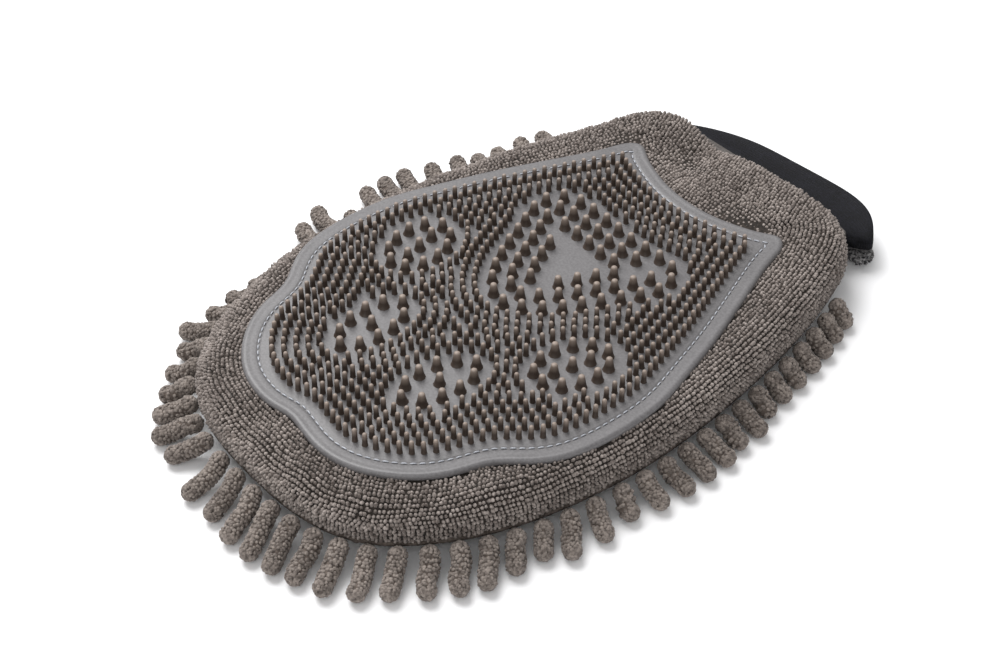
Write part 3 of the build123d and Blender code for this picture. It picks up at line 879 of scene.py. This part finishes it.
# --- wrist -------------------------------------------------------------------------------
def squared(turn, power):
    """A circle's place across and up at a turn, the more square the higher the power."""
    across = np.sign(np.cos(turn)) * np.abs(np.cos(turn)) ** (2 / power)
    rise = np.sign(np.sin(turn)) * np.abs(np.sin(turn)) ** (2 / power)
    return across, rise


def flat_tube(name, stations, thick, look, around=96):
    """A flattened tube through stations of y, x middle, half width, z middle, half height
    and bow.  The bow draws its two side ends back, so that its rings curve round them."""
    across, rise = squared(np.linspace(0, 2 * math.pi, around, endpoint=False), 3.0)
    layers = []
    for shrink in (0.0, thick):
        rings = []
        for y, x, wide, z, tall, bow in stations:
            rings.append(np.column_stack([x + (wide - shrink) * across,
                                          y - bow * (np.abs(across) ** 5 - 0.32 * across),
                                          z + (tall - shrink) * rise]))
        layers.append(np.vstack(rings))
    points, faces = thick_sheet(layers[0], layers[1], strip_faces(len(stations), around))
    return piece(name, points, faces, look)


def elastic_cuff():
    """The knitted cuff: ribs that run across it and curve round its two ends."""
    x = MIDDLE[0]
    root = node_box("elastic_cuff")[0][1]
    half_wide, half_tall = CUFF_HALF
    stations = [(root + y, x, wide, z, tall, 0.0) for y, wide, z, tall in CUFF_ROOT]
    for k in range(CUFF_RINGS + 1):
        share = k / CUFF_RINGS
        rib = CUFF_RIDGE if k % 4 in (1, 2) else CUFF_VALLEY
        wide = half_wide + 1.5 * math.sin(share * math.pi) - 3.0 * share ** 3
        tall = half_tall + 0.7 * math.sin(min(1, share * 2) * math.pi / 2) - 1.6 * share ** 4
        stations.append((root + 0.4 + CUFF_RUN * share, x + CUFF_SKEW * share, wide + rib,
                         CUFF_MIDDLE - CUFF_DROOP * share, tall + rib, CUFF_BOW * share))
    made = flat_tube("elastic_cuff_knit", stations, 1.2, KNIT, 160)
    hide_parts("elastic_cuff")
    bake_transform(made)


def serged_edge():
    """The overlocked edge under the cuff: a flat strip with loops of thread round its rim."""
    low, high = node_box("serged_edge")
    x, half = (low[0] + high[0]) / 2 + SERGED_SHIFT, (high[0] - low[0]) / 2 + SERGED_WIDER
    depth, root = high[1] - low[1], low[1]
    count, rings = 120, []
    across, back = squared(np.linspace(0, math.pi, count), 3.4)
    back = np.abs(back)
    beat = 0.35 * np.abs(np.sin(np.arange(count) * 1.05))
    for share, height in SERGED_RINGS:
        bulge = 1 + (share > 0.9) * beat / 12
        rings.append(np.column_stack([x + half * across * share * bulge,
                                      root + depth * back * share * bulge,
                                      height + (share > 0.7) * (beat - 0.17)]))
    strip = (np.vstack(rings), bar_faces(len(rings), count))
    band = np.vstack(rings[1:6])
    ups = (band - (x, root + depth * 0.4, 3.6)) * (1, 1, 6)
    ups /= np.linalg.norm(ups, axis=1)[:, None]
    loops = copies(dome(5, 2), band - 0.2 * ups, ups, 0.55, 0.85,
                   np.random.default_rng(31), 0.3)
    points, faces = joined([strip, loops])
    piece("serged_edge_loops", points, faces, OVERLOCK, "cuff",
          ["serged_edge"])


def wrist_hem():
    """The folded hem round the wrist opening."""
    low, high = node_box("wrist_hem")
    x, z = (low[0] + high[0]) / 2, (low[2] + high[2]) / 2
    wide, tall = (high[0] - low[0]) / 2, (high[2] - low[2]) / 2
    stations = [(low[1] + (high[1] - low[1]) * share, x, wide + swell, z, tall + swell, 0.0)
                for share, swell in HEM_FOLDS]
    made = flat_tube("wrist_hem_cloth", stations, 0.7, LINING)
    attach(made, "mitt")
    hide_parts("wrist_hem")


# --- the room ----------------------------------------------------------------------------
def floor():
    """A pale floor, slightly mottled."""
    steps = np.linspace(-FLOOR_HALF, FLOOR_HALF, FLOOR_LINES)
    points = [(x, y, 0) for y in steps for x in steps]
    n = FLOOR_LINES
    faces = [(r * n + c, r * n + c + 1, (r + 1) * n + c + 1, (r + 1) * n + c)
             for r in range(n - 1) for c in range(n - 1)]
    mesh = bpy.data.meshes.new("floor")
    mesh.from_pydata(points, [], faces)
    mesh.materials.append(finish("floor_card", tone(247, 247, 248), tone(252, 252, 253), 40,
                                 0.7, 0.0))
    made = bpy.data.objects.new("floor", mesh)
    bpy.context.scene.collection.objects.link(made)


def light(name, place, aim, size, power):
    """A soft square light at a place, turned to a point."""
    data = bpy.data.lights.new(name, "AREA")
    data.size = size
    data.energy = power
    made = bpy.data.objects.new(name, data)
    made.location = place
    made.rotation_euler = (Vector(aim) - Vector(place)).to_track_quat("-Z", "Y").to_euler()
    bpy.context.scene.collection.objects.link(made)


def room():
    """Pale surroundings and soft lights."""
    scene = bpy.context.scene
    world = bpy.data.worlds.new("studio")
    world.use_nodes = True
    world.node_tree.nodes["Background"].inputs["Color"].default_value = (1, 1, 1, 1)
    world.node_tree.nodes["Background"].inputs["Strength"].default_value = SKY
    scene.world = world
    scene.view_settings.view_transform = "Standard"
    light("key", (-0.7, 0.05, 1.05), (0, 0, 0), 0.9, 19)
    light("fill", (0.6, -0.9, 0.8), (0, 0, 0), 1.2, 5)


def camera():
    """A camera that looks down on the mitt from the right of its finger end."""
    data = bpy.data.cameras.new("camera")
    data.lens = CAMERA_LENS
    data.sensor_width = CAMERA_SENSOR
    made = bpy.data.objects.new("camera", data)
    made.location = CAMERA_PLACE
    made.rotation_euler = Vector(CAMERA_WAY).to_track_quat("-Z", "Y").to_euler()
    bpy.context.scene.collection.objects.link(made)
    bpy.context.scene.camera = made


camera()
room()
floor()
terry_panel()
terry_pile()
flat_cloth("base_cloth", "chenille_base_panel", 7.45, 8.75, 0.0, BASE_CLOTH,
           0.0)
flat_cloth("back_lining_cloth", "back_lining", 8.9, 9.35, 3.5, LINING,
           0.04)
front_lining()
side_seam()
grooming_pad()
pad_stitches()
nibs("pad_small_nibs", "pad_small_nibs_rubber", NIB_SHOULDER, 21)
nibs("pad_large_cones", "pad_large_cones_rubber", CONE_SHOULDER, 22)
for number, body in enumerate(sorted(frame["bodies"])):
    if body.startswith("tuft_"):
        node = "fringe_" + body[5:]
        noodles(node, node, body, ROOT_HIDDEN, 1.25, 14, 100 + number)
for number, node in enumerate(sorted(n for n in frame["nodes"] if n.startswith("underside"))):
    noodles(node, node, "mitt", 0.0, 2.1, 8, 200 + number)
elastic_cuff()
serged_edge()
wrist_hem()
